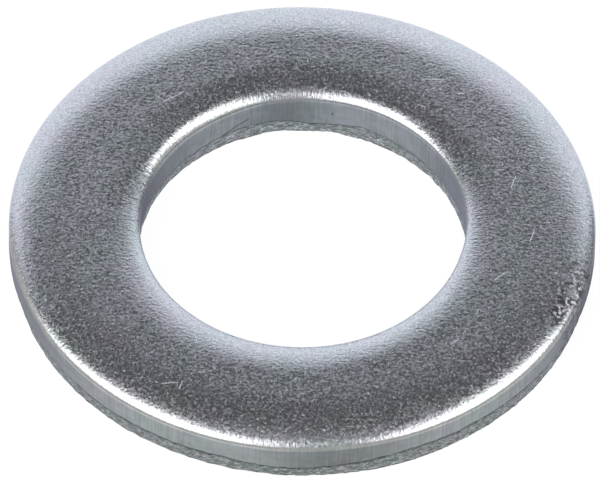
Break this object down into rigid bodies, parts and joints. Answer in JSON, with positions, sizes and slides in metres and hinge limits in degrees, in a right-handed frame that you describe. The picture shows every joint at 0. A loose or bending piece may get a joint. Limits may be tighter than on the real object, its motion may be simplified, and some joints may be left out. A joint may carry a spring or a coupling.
{
  "type": "flat washer",
  "caption": "Round flat steel washer with a plain centre hole, softly rounded upper edges and sheared walls; spreads a bolt's clamping load over the surface under it.",
  "frame": {"origin": "centre of the hole, on the underside (the face with the sharp edges)", "axes": "+Z along the hole, from the underside towards the rounded upper face that meets the bolt head or nut; X and Y lie across the washer, which looks the same all round"},
  "size_m": [0.03, 0.03, 0.003],
  "materials": {
    "zinc_plated_steel": "electroplated zinc with a clear bluish passivation over fine-grained punched steel"
  },
  "bodies": {
    "root": {"washer": "zinc_plated_steel"}
  },
  "joints": []
}
